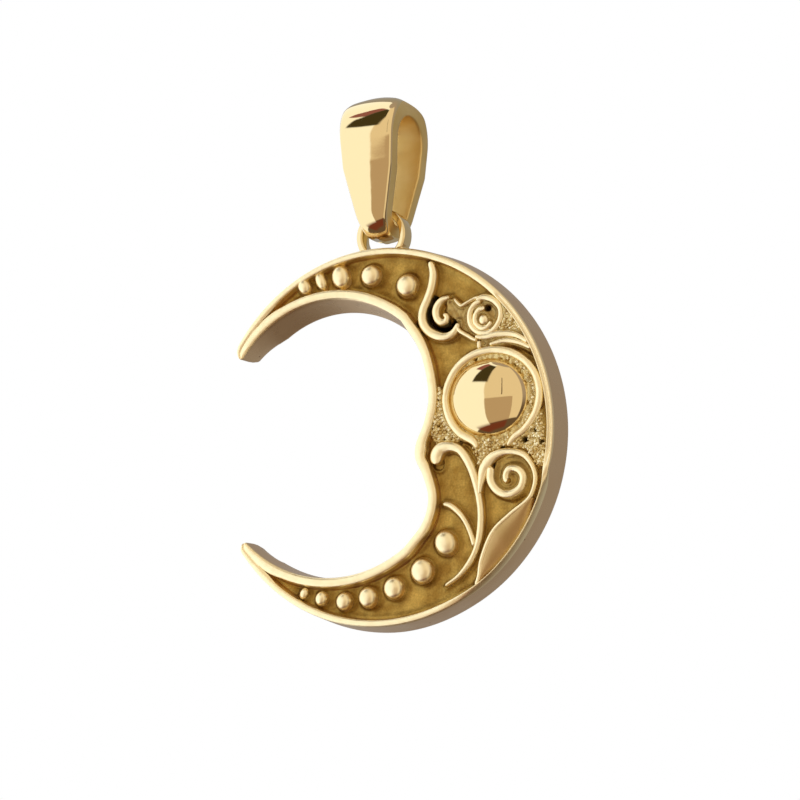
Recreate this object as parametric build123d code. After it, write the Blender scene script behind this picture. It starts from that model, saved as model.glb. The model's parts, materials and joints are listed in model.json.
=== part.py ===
from build123d import *
from math import cos, hypot, radians, sin
import os

# Crescent moon pendant of cast yellow gold. Millimetres, +Z up, the front faces -Y.
# The origin is the inside top of the bail, where the neck chain bears.

# Crescent casting: a shallow tray with raised rims and a relief on its floor
moon_radius = 12.0
moon_thickness = 2.2
floor_depth = 0.70
outer_rim_width = 0.45
inner_rim_width = 0.60
outer_flare = 0.15
wall_flare = 0.45
wall_flare_drop = 0.15
horn_fade = 3.0
rim_edge_radius = 0.10
mouth_reach = 3.0
outline_step = 1.2

# Relief on the floor
wire_height = 0.56
root_depth = 0.15
plate_height = 0.30
leaf_height = 0.50
bead_rise = 0.46
dome_radius = 2.45
dome_height = 1.20
dome_side = 0.45
dome_ring_radius = 3.05
dome_ring_width = 0.36

# Soldered loop on top of the crescent
loop_inner_radius = 1.30
loop_wall = 0.45
loop_depth = 1.00
loop_height = 0.92
loop_foot_width = 3.30
loop_foot_height = 0.45

# Bail: a tapered band bent into a drop-shaped eye
bail_height = 9.15
bail_top_wall = 1.20
bail_side_wall = 0.95
bail_bottom_wall = 0.85
bail_top_depth = 5.40
bail_middle_depth = 5.10
bail_middle_drop = 4.30
bail_bottom_depth = 4.00
bail_width = 3.96
bail_crown_radius = 1.00
bail_waist_width = 3.50
bail_waist_drop = 4.60
bail_waist_radius = 1.50
bail_bottom_width = 1.70
bail_bottom_corner = 0.30
bail_running_gap = 0.08

# The loop's top arc turns about its own middle, inside the bail's lower bend
bail_taper = (bail_waist_width - bail_bottom_width) / 2 / (bail_height - bail_waist_drop - bail_bottom_corner)
bend_half_width = bail_bottom_width / 2 + bail_taper * (bail_bottom_wall - bail_bottom_corner / 2)
arc_drop = loop_inner_radius - (loop_inner_radius**2 - bend_half_width**2) ** 0.5
arc_reach = hypot(loop_depth / 2, loop_wall / 2 + arc_drop)
bend_top_z = bail_top_wall - bail_height + bail_bottom_wall
pivot_z = bend_top_z + arc_reach + bail_running_gap
loop_centre_z = pivot_z - loop_wall / 2 - loop_inner_radius
moon_centre_z = loop_centre_z - loop_height - moon_radius

# Inner outline of the moon: a profile with a small nose, between two plain arcs that end
# in the horns. All are shares of moon_radius, across and up from the moon's centre.
horn_overrun = 1.025
upper_horn_angle = 146.7
upper_horn_round = (-0.8442, 0.4975)
upper_arc_start = (-0.8125, 0.4610)
upper_arc_middle = (-0.3367, 0.7440)
profile = [
    (0.1400, 0.5990),
    (0.2500, 0.4260),
    (0.2980, 0.2100),
    (0.2760, 0.0640),
    (0.2260, -0.0560),
    (0.2230, -0.1340),
    (0.2640, -0.2200),
    (0.2960, -0.3450),
    (0.2600, -0.4720),
    (0.1580, -0.5920),
]
lower_arc_middle = (-0.3000, -0.7355)
lower_arc_end = (-0.7792, -0.5333)
lower_horn_round = (-0.8100, -0.5440)
lower_horn_angle = 216.2

# Beads in the two horns. Columns: angle round the moon, share of moon_radius, diameter.
beads = [
    (78.0, 0.805, 1.40),
    (93.0, 0.858, 1.25),
    (104.0, 0.893, 1.05),
    (113.0, 0.926, 0.80),
    (119.5, 0.940, 0.60),
    (-56.0, 0.695, 1.25),
    (-70.5, 0.760, 1.35),
    (-83.5, 0.805, 1.20),
    (-94.0, 0.846, 1.10),
    (-103.0, 0.884, 0.95),
    (-111.5, 0.906, 0.80),
    (-118.5, 0.925, 0.60),
]

# Stems laid on the floor. Columns: across and up as shares of moon_radius, width.
upper_stem = [
    (0.300, 0.925, 0.42),
    (0.325, 0.830, 0.50),
    (0.290, 0.715, 0.50),
    (0.255, 0.610, 0.50),
    (0.300, 0.520, 0.48),
    (0.390, 0.495, 0.42),
    (0.462, 0.545, 0.36),
]
upper_curl = [
    (0.466, 0.556, 0.30),
    (0.432, 0.613, 0.36),
    (0.404, 0.663, 0.38),
    (0.367, 0.682, 0.38),
    (0.337, 0.655, 0.38),
    (0.330, 0.613, 0.36),
    (0.352, 0.578, 0.34),
    (0.385, 0.570, 0.30),
    (0.412, 0.585, 0.22),
]
hook_stem = [
    (0.335, -0.165, 0.56),
    (0.345, -0.095, 0.60),
    (0.420, -0.078, 0.52),
    (0.500, -0.130, 0.46),
    (0.560, -0.260, 0.42),
    (0.588, -0.430, 0.42),
    (0.565, -0.600, 0.38),
    (0.500, -0.715, 0.32),
    (0.375, -0.800, 0.18),
]
stem_branch = [
    (0.378, -0.372, 0.18),
    (0.450, -0.410, 0.28),
    (0.515, -0.490, 0.30),
    (0.560, -0.600, 0.30),
]
leaf_head = [
    (0.590, -0.255, 0.30),
    (0.640, -0.150, 0.38),
    (0.740, -0.118, 0.40),
    (0.845, -0.160, 0.34),
    (0.892, -0.262, 0.28),
]
leaf_side = [
    (0.865, -0.365, 0.26),
    (0.760, -0.440, 0.26),
    (0.655, -0.525, 0.26),
    (0.598, -0.660, 0.26),
    (0.568, -0.795, 0.30),
]
upper_ribbon = [
    (0.590, 0.462, 0.22),
    (0.700, 0.490, 0.20),
    (0.800, 0.470, 0.20),
    (0.885, 0.415, 0.16),
]
lower_ribbon = [
    (0.640, 0.440, 0.20),
    (0.740, 0.455, 0.22),
    (0.820, 0.430, 0.20),
    (0.885, 0.385, 0.16),
]

# The dome's centre, and the wire round it from one lower tail to the other
dome_centre = (0.650, 0.163)
dome_ring_angles = (232, 180, 135, 90, 45, 0, -52)
dome_ring_left_tail = (0.579, -0.088, 0.30)
dome_ring_right_tail = (0.729, -0.100, 0.26)

# Curls wound inwards. Columns: centre across and up as shares of moon_radius, first
# radius, first angle, turns, share of the radius kept each turn, first and last width.
curls = [
    (0.7625, -0.2540, 1.58, 153.0, 1.19, 0.29, 0.40, 0.30),
    (0.6170, 0.5875, 1.25, 106.0, -0.94, 0.38, 0.32, 0.28),
]
curl_samples = 9
curl_eye = (0.6210, 0.5750, 0.72)

# Low plates that carry the curls and the granulation, as shares of moon_radius
upper_plate = [
    (0.440, 0.700),
    (0.492, 0.655),
    (0.585, 0.690),
    (0.680, 0.690),
    (0.860, 0.500),
    (0.885, 0.370),
    (0.760, 0.425),
    (0.580, 0.420),
    (0.590, 0.455),
    (0.470, 0.540),
]
left_ground = [
    (0.350, 0.230),
    (0.400, 0.230),
    (0.420, 0.050),
    (0.540, -0.060),
    (0.330, -0.060),
    (0.305, -0.010),
]
lower_ground = [
    (0.520, -0.010),
    (0.585, -0.045),
    (0.650, -0.058),
    (0.715, -0.045),
    (0.780, -0.010),
    (0.850, 0.020),
    (0.930, 0.080),
    (0.950, -0.200),
    (0.905, -0.210),
    (0.740, -0.095),
    (0.580, -0.200),
]


def on_moon(across, up):
    """A point of the moon's plane, from shares of its radius."""
    return (across * moon_radius, up * moon_radius)


def on_rim(angle, share=1.0):
    """A point at an angle round the moon, at a share of its radius."""
    return on_moon(share * cos(radians(angle)), share * sin(radians(angle)))


def hollow_face(widening=0.0, rounded_horns=True):
    """The moon's open middle and its mouth as one face, its metal edge moved back by widening.

    A negative widening is the flare of the wall's back: it fades out at the horns."""
    upper_arc = ThreePointArc(on_moon(*upper_arc_start), on_moon(*upper_arc_middle), on_moon(*profile[0]))
    lower_arc = ThreePointArc(on_moon(*profile[-1]), on_moon(*lower_arc_middle), on_moon(*lower_arc_end))
    face_line = Spline([on_moon(*row) for row in profile], tangents=[upper_arc % 1, lower_arc % 0])
    edges = [upper_arc, face_line, lower_arc]
    if rounded_horns:
        upper_end, lower_end = (on_rim(angle, horn_overrun) for angle in (upper_horn_angle, lower_horn_angle))
        upper_round = ThreePointArc(upper_end, on_moon(*upper_horn_round), upper_arc @ 0)
        lower_round = ThreePointArc(lower_arc @ 1, on_moon(*lower_horn_round), lower_end)
        edges = [upper_round, *edges, lower_round]
    whole = sum(edge.length for edge in edges)
    curves = []
    done = 0.0
    for edge in edges:
        count = max(3, round(edge.length / outline_step))
        points = []
        for step in range(count + 1):
            share = step / count
            run = edge % share
            reach = done + share * edge.length
            fade = min(1.0, reach / horn_fade, (whole - reach) / horn_fade) if widening < 0 else 1.0
            away = widening * fade
            drop = wall_flare_drop * fade if widening < 0 else 0.0
            points.append(((edge @ share).X - run.Y * away, (edge @ share).Y + run.X * away - drop))
        if curves:
            points[0] = curves[-1][-1]
        curves.append(points)
        done += edge.length
    left = -moon_radius - mouth_reach
    first, last = curves[0][0], curves[-1][-1]
    mouth = Polyline(last, (left, last[1] - mouth_reach), (left, first[1] + mouth_reach), first)
    return make_face([*(Spline(points) for points in curves), *mouth.edges()])


def stem_outline(rows, samples=8):
    """A smooth stem of changing width with round ends, from rows of across, up and width."""
    line = Spline([on_moon(across, up) for across, up, _ in rows])
    steps = (len(rows) - 1) * samples
    left_side = []
    right_side = []
    for step in range(steps + 1):
        point = line @ (step / steps)
        run = line % (step / steps)
        row = min(step // samples, len(rows) - 2)
        part = step / samples - row
        half = (rows[row][2] * (1 - part) + rows[row + 1][2] * part) / 2
        left_side.append((point.X - run.Y * half, point.Y + run.X * half))
        right_side.append((point.X + run.Y * half, point.Y - run.X * half))
    first = line @ 0 - (line % 0) * (rows[0][2] / 2)
    last = line @ 1 + (line % 1) * (rows[-1][2] / 2)
    start_cap = ThreePointArc(right_side[0], (first.X, first.Y), left_side[0])
    end_cap = ThreePointArc(left_side[-1], (last.X, last.Y), right_side[-1])
    return make_face([start_cap, Spline(left_side), end_cap, Spline(right_side)])


def curl_rows(centre_across, centre_up, first_radius, first_angle, turns, kept, first_width, last_width):
    """Rows of a stem that winds inwards, keeping one share of its radius each turn."""
    rows = []
    for step in range(curl_samples + 1):
        place = step / curl_samples
        radius = first_radius * kept ** (abs(turns) * place)
        angle = radians(first_angle + 360 * turns * place)
        across = centre_across + radius * cos(angle) / moon_radius
        up = centre_up + radius * sin(angle) / moon_radius
        rows.append((across, up, first_width + (last_width - first_width) * place))
    return rows


def dome_ring_rows():
    """Rows of the wire that runs round the dome from one tail to the other."""
    rows = [dome_ring_left_tail]
    for angle in dome_ring_angles:
        across = dome_centre[0] + dome_ring_radius * cos(radians(angle)) / moon_radius
        up = dome_centre[1] + dome_ring_radius * sin(radians(angle)) / moon_radius
        rows.append((across, up, dome_ring_width))
    return rows + [dome_ring_right_tail]


def on_floor(face, height):
    """A face of the moon's plane raised from the tray's floor, with its root in the casting."""
    floor = moon_thickness - floor_depth
    return Pos(0, 0, floor - root_depth) * extrude(face, root_depth + height)


def tray():
    """The crescent itself: walls that spread to the back, and a sunk floor."""
    disc = Pos(0, 0, moon_thickness / 2) * Cone(moon_radius + outer_flare, moon_radius, moon_thickness)
    disc = fillet(disc.edges().filter_by(GeomType.CIRCLE), rim_edge_radius)
    wall_top = moon_thickness - rim_edge_radius
    wall = loft([hollow_face(-wall_flare), Pos(0, 0, wall_top) * hollow_face()], ruled=True)
    lip = loft([Pos(0, 0, wall_top) * hollow_face(),
                Pos(0, 0, moon_thickness) * hollow_face(rim_edge_radius)], ruled=True)
    floor_face = Circle(moon_radius - outer_rim_width) - hollow_face(inner_rim_width, rounded_horns=False)
    floor_cut = Pos(0, 0, moon_thickness - floor_depth) * extrude(floor_face, floor_depth)
    return disc - [wall, lip, floor_cut]


def bead(angle, share, diameter):
    """A ball half sunk in the floor, its top bead_rise of its diameter above it."""
    floor = moon_thickness - floor_depth
    return Pos(*on_rim(angle, share), floor + (bead_rise - 0.5) * diameter) * Sphere(diameter / 2)


def dome():
    """The polished dome: a cap of a large ball on a short upright side."""
    cap_height = dome_height - dome_side
    ball_radius = (dome_radius**2 + cap_height**2) / (2 * cap_height)
    ball = Pos(0, 0, moon_thickness - floor_depth + dome_height - ball_radius) * Sphere(ball_radius)
    cap = ball & on_floor(Circle(dome_radius), dome_height + root_depth)
    return Pos(*on_moon(*dome_centre), 0) * cap


def leaf():
    """The smooth leaf between the leaf edge and the moon's outer rim."""
    edge_points = [on_moon(across, up) for across, up, _ in leaf_side]
    rim_radius = moon_radius - outer_rim_width / 2
    rim_points = []
    for across, up in (edge_points[-1], edge_points[0]):
        reach = rim_radius / hypot(across, up)
        rim_points.append((across * reach, up * reach))
    middle = (rim_points[0][0] + rim_points[1][0], rim_points[0][1] + rim_points[1][1])
    reach = rim_radius / hypot(*middle)
    rim_side = ThreePointArc(rim_points[0], (middle[0] * reach, middle[1] * reach), rim_points[1])
    foot = Line(edge_points[-1], rim_points[0])
    head = Line(rim_points[1], edge_points[0])
    return on_floor(make_face([Spline(edge_points), foot, rim_side, head]), leaf_height)


def loop():
    """The upright ring soldered on the crescent, with its foot."""
    centre = Pos(0, moon_radius + loop_height)
    ring_face = centre * Circle(loop_inner_radius + loop_wall)
    foot_face = make_face(Polyline(
        (-loop_foot_width / 2, moon_radius - outer_rim_width / 2),
        (loop_foot_width / 2, moon_radius - outer_rim_width / 2),
        (loop_inner_radius, moon_radius + loop_foot_height),
        (-loop_inner_radius, moon_radius + loop_foot_height),
        close=True,
    ))
    hole = centre * Circle(loop_inner_radius)
    inside_rim = Circle(moon_radius - outer_rim_width / 2)
    band = extrude(ring_face + foot_face - hole - inside_rim, loop_depth)
    return Pos(0, 0, (moon_thickness - loop_depth) / 2) * band


def crescent():
    """The whole casting with its relief and the soldered loop, stood up with its front to -Y."""
    relief = [bead(*row) for row in beads]
    relief += [on_floor(stem_outline(rows), wire_height) for rows in (
        upper_stem, upper_curl, hook_stem, stem_branch, leaf_head + leaf_side, upper_ribbon, lower_ribbon,
        dome_ring_rows())]
    relief += [on_floor(stem_outline(curl_rows(*row)), wire_height) for row in curls]
    for points in (upper_plate, left_ground, lower_ground):
        plate = make_face(Polyline([on_moon(*point) for point in points], close=True))
        relief.append(on_floor(plate, plate_height))
    eye_centre = on_moon(*curl_eye[:2])
    relief.append(on_floor(Pos(*eye_centre) * Circle(curl_eye[2] / 2), wire_height))
    relief += [leaf(), dome(), loop()]
    casting = tray() + relief
    return Pos(0, moon_thickness / 2, moon_centre_z) * Rot(90, 0, 0) * casting


def drop_face(rows):
    """A drop shape seen from the side, round circles given by drop from the bail's top and radius."""
    circles = [Pos(0, bail_top_wall - drop) * Circle(radius) for drop, radius in rows]
    return make_hull([edge for circle in circles for edge in circle.edges()])


def bail():
    """The bail: a band bent to a drop seen from the side, and tapered seen from the front."""
    top_radius = bail_top_depth / 2
    middle_radius = bail_middle_depth / 2
    bottom_radius = bail_bottom_depth / 2
    outside = drop_face((
        (top_radius, top_radius),
        (bail_middle_drop, middle_radius),
        (bail_height - bottom_radius, bottom_radius),
    ))
    inside = drop_face((
        (bail_top_wall + top_radius - bail_side_wall, top_radius - bail_side_wall),
        (bail_middle_drop, middle_radius - bail_side_wall),
        (bail_height - bottom_radius, bottom_radius - bail_bottom_wall),
    ))
    corners = (
        (bail_width / 2, bail_crown_radius, bail_crown_radius),
        (bail_waist_width / 2, bail_waist_drop, bail_waist_radius),
        (bail_bottom_width / 2, bail_height - bail_bottom_corner, bail_bottom_corner),
    )
    circles = []
    for reach, drop, radius in corners:
        for side in (-1, 1):
            circles.append(Pos(side * (reach - radius), bail_top_wall - drop) * Circle(radius))
    front_face = make_hull([edge for circle in circles for edge in circle.edges()])
    side_band = Plane.YZ * extrude(outside - inside, bail_width, both=True)
    front_block = Plane.XZ * extrude(front_face, bail_top_depth, both=True)
    return side_band & front_block


os.makedirs("parts", exist_ok=True)
for node, shape in (("crescent", crescent()), ("bail", bail())):
    export_step(shape, f"parts/{node}.step")
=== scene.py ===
import json
from math import cos, pi, radians, sin

import bmesh
import bpy
import numpy as np
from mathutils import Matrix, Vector


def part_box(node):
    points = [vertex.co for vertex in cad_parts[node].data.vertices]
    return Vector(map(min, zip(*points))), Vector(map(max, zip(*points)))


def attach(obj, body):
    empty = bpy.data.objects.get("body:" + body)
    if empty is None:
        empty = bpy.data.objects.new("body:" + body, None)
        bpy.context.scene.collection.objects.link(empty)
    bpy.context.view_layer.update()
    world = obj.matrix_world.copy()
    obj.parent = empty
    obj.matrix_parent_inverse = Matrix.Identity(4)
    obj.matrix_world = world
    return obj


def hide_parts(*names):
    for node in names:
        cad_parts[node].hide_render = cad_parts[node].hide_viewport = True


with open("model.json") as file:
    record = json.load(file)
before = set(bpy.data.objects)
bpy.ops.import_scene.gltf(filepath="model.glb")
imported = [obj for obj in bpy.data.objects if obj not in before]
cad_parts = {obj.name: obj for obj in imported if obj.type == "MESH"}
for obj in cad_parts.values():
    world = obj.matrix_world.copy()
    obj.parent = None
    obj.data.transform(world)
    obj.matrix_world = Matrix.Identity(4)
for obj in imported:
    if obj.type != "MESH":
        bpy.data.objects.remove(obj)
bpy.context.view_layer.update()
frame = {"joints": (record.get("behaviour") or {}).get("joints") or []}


# The tray of the casting: one piece of 18 carat yellow gold from a lost-wax mould, with a flat back,
# a raised rim along both edges of the crescent and a sunk pocket between them.
# The rims are filed and buffed by hand, and the walls keep the softer skin of the tumbling barrel.
mm = 0.001
moon_radius = 12.0
moon_thickness = 2.2
pocket_height = 0.75
floor_height = 1.5
outer_rim_width = 0.47
inner_rim_width = 0.64
nose_rim_gain = 0.16
# How far the walls stand out at the back, where along the moon that changes, in degrees, and how soon
# it ends towards the horns' tips
outer_flare = 0.15
lower_outer_flare = 0.28
wall_flare = 0.45
lower_wall_flare = 0.2
wall_flare_drop = 0.15
flared_height = 2.1
outer_flare_start = -60.0
inner_flare_start = -75.0
flare_turn = 30.0
horn_fade = 3.0
# The rims' shares of the crescent's width where it is narrow, and the width at which the pocket starts
outer_rim_share = 0.43
inner_rim_share = 0.57
pocket_least = 1.04
pocket_growth = 0.5
# The small nose in the hollow, where the inner rim is broader
nose_angle = -20.0
nose_spread = 14.0
loop_inner_radius = 1.3
loop_wall = 0.45
loop_height = 0.92
swing_to_middle = loop_wall / 2 + loop_inner_radius + loop_height + moon_radius
moon_middle_z = frame["joints"][0]["pos_m"][2] - swing_to_middle * mm

# The hollow's outline from the upper horn to the lower one, as shares of moon_radius
upper_arc_rows = [(-0.8125, 0.461), (-0.3367, 0.744), (0.14, 0.599)]
profile_rows = [
    (0.14, 0.599), (0.25, 0.426), (0.298, 0.21), (0.276, 0.064), (0.226, -0.056),
    (0.223, -0.134), (0.264, -0.22), (0.296, -0.345), (0.26, -0.472), (0.158, -0.592),
]
lower_arc_rows = [(0.158, -0.592), (-0.3, -0.7355), (-0.7792, -0.5333)]
# Columns: angle where the outer edge starts to round, angle of the tip, share of the radius at the
# tip, and how far the tip's back is filed away
upper_horn = (146.7, 150.8, 0.948, 0.3)
lower_horn = (-143.7, -146.1, 0.965, 0.7)
filed_height = 1.3
filed_reach = 2.2
tip_sweep = 4.0
horn_stations = 44
body_stations = 560

# One side of the tray from its back edge over the rim into the pocket.
# Columns: share of the rim's width in from the edge, height.
rim_section = [
    (0.3, 0.0), (0.1, 0.02), (0.03, 0.06), (0.0, 0.14), (0.0, 0.2), (0.0, 0.7), (0.0, 1.2),
    (0.0, 1.55), (0.0, 1.82), (0.0, 2.0), (0.02, 2.08), (0.07, 2.145), (0.15, 2.18), (0.26, 2.197),
    (0.38, 2.204), (0.5, 2.206), (0.62, 2.204), (0.74, 2.196), (0.84, 2.178), (0.91, 2.14),
    (0.965, 2.07), (1.0, 1.97), (1.1, 1.75), (1.3, 1.56), (1.55, pocket_height),
]
# The row where the side of the pocket starts, the first buffed row and the first one after them, and
# the height above which a face counts as the rim's top
pocket_side = 19
buffed_rows = (10, 22)
rim_level = 2.0
# A line cut along the outer rim, and a broad bevel beside the leaf, where the rim is narrower by
# bevel_narrowing. Beside the line the rim is worn to a share of the bevel.
# Spans: first angle and how far it fades in, last angle and how far it fades out, in degrees.
groove_span = (-13.0, 6.0, 46.0, 4.0)
groove_depth = 0.16
groove_place = 0.56
groove_width = 0.16
bevel_span = (-70.0, 22.0, -12.0, 7.0)
bevel_depth = 0.42
bevel_start = 1.2
bevel_narrowing = 0.19
worn_rim = 0.35
# How high the two rims meet in the horns' tips
seam_height = 2.16


def arc_through(rows, count):
    """Points of the circle through three points, from the first to the last."""
    first, between, last = [complex(*row) for row in rows]
    turn = (last - first) / (between - first)
    middle = first + (between - first) * (turn - abs(turn) ** 2) / (2j * turn.imag)
    angles = np.unwrap(np.angle(np.array([first, between, last]) - middle))
    arc = middle + abs(first - middle) * np.exp(1j * np.linspace(angles[0], angles[2], count))
    return np.stack([arc.real, arc.imag], axis=1)


def smooth_through(rows, per_span):
    """A smooth line through all the rows, and through every column of them alike."""
    rows = np.array(rows, float)
    padded = np.vstack([2 * rows[0] - rows[1], rows, 2 * rows[-1] - rows[-2]])
    t = np.linspace(0, 1, per_span, endpoint=False)[:, None]
    spans = []
    for a, b, c, d in zip(padded, padded[1:], padded[2:], padded[3:]):
        spans.append(b + 0.5 * t * (c - a + t * (2 * a - 5 * b + 4 * c - d + t * (3 * (b - c) + d - a))))
    return np.vstack([*spans, rows[-1:]])


def run_along(line):
    """How far along a line each of its points is."""
    return np.concatenate([[0], np.cumsum(np.linalg.norm(np.diff(line, axis=0), axis=1))])


def soft_step(value):
    """0 below 0, 1 above 1, and a smooth climb between."""
    value = np.clip(value, 0, 1)
    return value * value * (3 - 2 * value)


def place_on_moon(points):
    """Turns across, up and height on the moon, in millimetres, into the frame, in metres."""
    across, up, height = np.asarray(points, float).T
    return np.stack([across * mm, (moon_thickness / 2 - height) * mm, moon_middle_z + up * mm], axis=1)


def grid_faces(rows, columns, ring_rows=False, ring_columns=False):
    """The four-sided faces of a grid of points, closed to a ring where asked."""
    r = np.arange(rows if ring_rows else rows - 1)
    c = np.arange(columns if ring_columns else columns - 1)
    r, c = np.meshgrid(r, c, indexing="ij")
    r2, c2 = (r + 1) % rows, (c + 1) % columns
    corners = [r * columns + c, r2 * columns + c, r2 * columns + c2, r * columns + c2]
    return np.stack(corners, axis=-1).reshape(-1, 4)


def as_piece(name, mesh, merged=True):
    """An object of a mesh, smooth, with its faces outwards and its seams and poles merged."""
    shape = bmesh.new()
    shape.from_mesh(mesh)
    if merged:
        bmesh.ops.remove_doubles(shape, verts=shape.verts, dist=2e-7)
        bmesh.ops.dissolve_degenerate(shape, edges=shape.edges, dist=1e-7)
    bmesh.ops.recalc_face_normals(shape, faces=shape.faces)
    for face in shape.faces:
        face.smooth = True
    shape.to_mesh(mesh)
    shape.free()
    piece = bpy.data.objects.new(name, mesh)
    bpy.context.scene.collection.objects.link(piece)
    return piece


def plain_mesh(name, points, edges, faces, point_values):
    """A mesh with named values on its points."""
    mesh = bpy.data.meshes.new(name)
    mesh.from_pydata([tuple(p) for p in points], edges, [tuple(int(i) for i in f) for f in faces])
    for key, values in point_values.items():
        mesh.attributes.new(key, "FLOAT", "POINT").data.foreach_set("value", np.asarray(values, np.float32))
    return mesh


def make_piece(name, points, faces, materials, face_material=None, point_values=None):
    """A piece made of points and faces, with a material for each face."""
    mesh = plain_mesh(name, points, [], faces, point_values or {})
    for material in materials:
        mesh.materials.append(material)
    if face_material is not None:
        mesh.polygons.foreach_set("material_index", np.asarray(face_material, np.int32))
    return as_piece(name, mesh)


def linear(hex_colour):
    """An sRGB hex colour as the linear colour that a shader takes."""
    shares = [int(hex_colour[i : i + 2], 16) / 255 for i in (1, 3, 5)]
    return [s / 12.92 if s <= 0.04045 else ((s + 0.055) / 1.055) ** 2.4 for s in shares] + [1.0]


def add_node(tree, kind, inputs=None, **settings):
    """Adds a node, sets its properties, and sets its inputs or links them to a socket or a node.

    The kind is the type's name without ShaderNode, GeometryNode or FunctionNode in front.
    """
    known = [front + kind for front in ("ShaderNode", "GeometryNode", "FunctionNode", "")]
    node = tree.nodes.new(next(name for name in known if hasattr(bpy.types, name)))
    for key, value in settings.items():
        setattr(node, key, value)
    for key, value in (inputs or {}).items():
        if isinstance(value, bpy.types.Node):
            value = next(socket for socket in value.outputs if socket.enabled)
        if isinstance(value, bpy.types.NodeSocket):
            tree.links.new(value, node.inputs[key])
        else:
            node.inputs[key].default_value = value
    return node


def new_material(name, *noises):
    """A material, its empty tree, and noises in Object coordinates, each given by scale and detail."""
    material = bpy.data.materials.new(name)
    material.use_nodes = True
    tree = material.node_tree
    tree.nodes.clear()
    place = add_node(tree, "TexCoord").outputs["Object"]
    made = [add_node(tree, "TexNoise", {"Vector": place, "Scale": scale, "Detail": detail})
            for scale, detail in noises]
    return material, tree, *made


def finish_gold(tree, tone, roughness, *ripples):
    """Ends a gold's tree with its tone, its roughness and the ripples of its surface.

    Roughness is a number, or a noise with its least and most values and the roughness at both.
    Each ripple is a height with its strength and its distance in metres.
    """
    if isinstance(roughness, tuple):
        keys = ("Value", "From Min", "From Max", "To Min", "To Max")
        roughness = add_node(tree, "MapRange", dict(zip(keys, roughness)))
    surface = {}
    for height, strength, distance in ripples:
        surface["Normal"] = add_node(tree, "Bump", {
            "Height": height, "Strength": strength, "Distance": distance, **surface})
    shader = add_node(tree, "BsdfPrincipled", {
        "Base Color": tone, "Metallic": 1.0, "Roughness": roughness, **surface})
    add_node(tree, "OutputMaterial", {"Surface": shader})


# 18 carat gold rubbed up by hand with a buff: it shines softly and keeps fine marks of the file
buffed_gold, tree, waves, scuffs = new_material("Buffed 18 carat gold", (1100.0, 2.0), (2200.0, 4.0))
finish_gold(tree, linear("#FAE8B8"), (scuffs, 0.3, 0.7, 0.28, 0.4), (waves, 0.3, 0.00006),
            (scuffs, 0.2, 0.00002))

# The same gold as it leaves the tumbling barrel: satin, a little duller, with casting pits of 0.04 mm
tumbled_gold, tree, swells, grain = new_material("Tumbled 18 carat gold", (600.0, 2.0), (3800.0, 5.0))
place = add_node(tree, "TexCoord").outputs["Object"]
pits = add_node(tree, "TexVoronoi", {"Vector": place, "Scale": 900.0})
pit_edge = add_node(tree, "MapRange", {"Value": pits, "From Min": 0.03, "From Max": 0.07})
tone = add_node(tree, "Mix", {
    "Factor": pit_edge, "A": linear("#8E6C40"), "B": linear("#DDBE94")}, data_type="RGBA")
relief = add_node(tree, "Math", {0: grain, 1: pit_edge}, operation="ADD")
finish_gold(tree, tone, (swells, 0.3, 0.7, 0.24, 0.36), (swells, 0.3, 0.00008), (relief, 0.25, 0.00002))

hollow_line = np.vstack([
    arc_through(upper_arc_rows, 90)[:-1],
    smooth_through(profile_rows, 14)[:-1],
    arc_through(lower_arc_rows, 90),
]) * moon_radius
hollow_angle = np.degrees(np.unwrap(np.arctan2(hollow_line[:, 1], hollow_line[:, 0])))
hollow_reach = np.hypot(hollow_line[:, 0], hollow_line[:, 1])

# Angles of the stations along the crescent, closer together where the horns end
tip_steps = tip_sweep * np.linspace(0, 1, horn_stations, endpoint=False) ** 2
stations = np.concatenate([
    upper_horn[1] - tip_steps,
    np.linspace(upper_horn[1] - tip_sweep, lower_horn[1] + tip_sweep, body_stations),
    (lower_horn[1] + tip_steps)[::-1],
])
order = np.argsort(hollow_angle)
inner_reach = np.interp(stations, hollow_angle[order], hollow_reach[order])
outer_reach = np.full(len(stations), moon_radius)
for start, tip, share, _ in (upper_horn, lower_horn):
    turn = np.clip((stations - start) / (tip - start), 0, 1)
    outer_reach -= moon_radius * (1 - share) * (1 - np.sqrt(1 - turn**2))
    turn = np.clip((stations - tip) / (start - tip) * 5, 0, 1)
    near_tip = 1 - np.sqrt(1 - (1 - turn) ** 2)
    inner_reach += (moon_radius * share - inner_reach) * near_tip
way = np.stack([np.cos(np.radians(stations)), np.sin(np.radians(stations))], axis=1)
outer_edge = way * outer_reach[:, None]
inner_edge = way * inner_reach[:, None]
moon_width = outer_reach - inner_reach


def inward(edge, towards):
    """Unit normals of an edge line that point to the metal."""
    run = np.gradient(edge, axis=0)
    normal = np.stack([-run[:, 1], run[:, 0]], axis=1)
    normal /= np.maximum(np.linalg.norm(normal, axis=1, keepdims=True), 1e-9)
    return normal * np.sign(np.sum(normal * towards, axis=1, keepdims=True))


def within_span(first, fade_in, last, fade_out):
    """1 at the stations within a span, with its fades inside it, and 0 elsewhere."""
    return soft_step((stations - first) / fade_in) * soft_step((last - stations) / fade_out)


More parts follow.
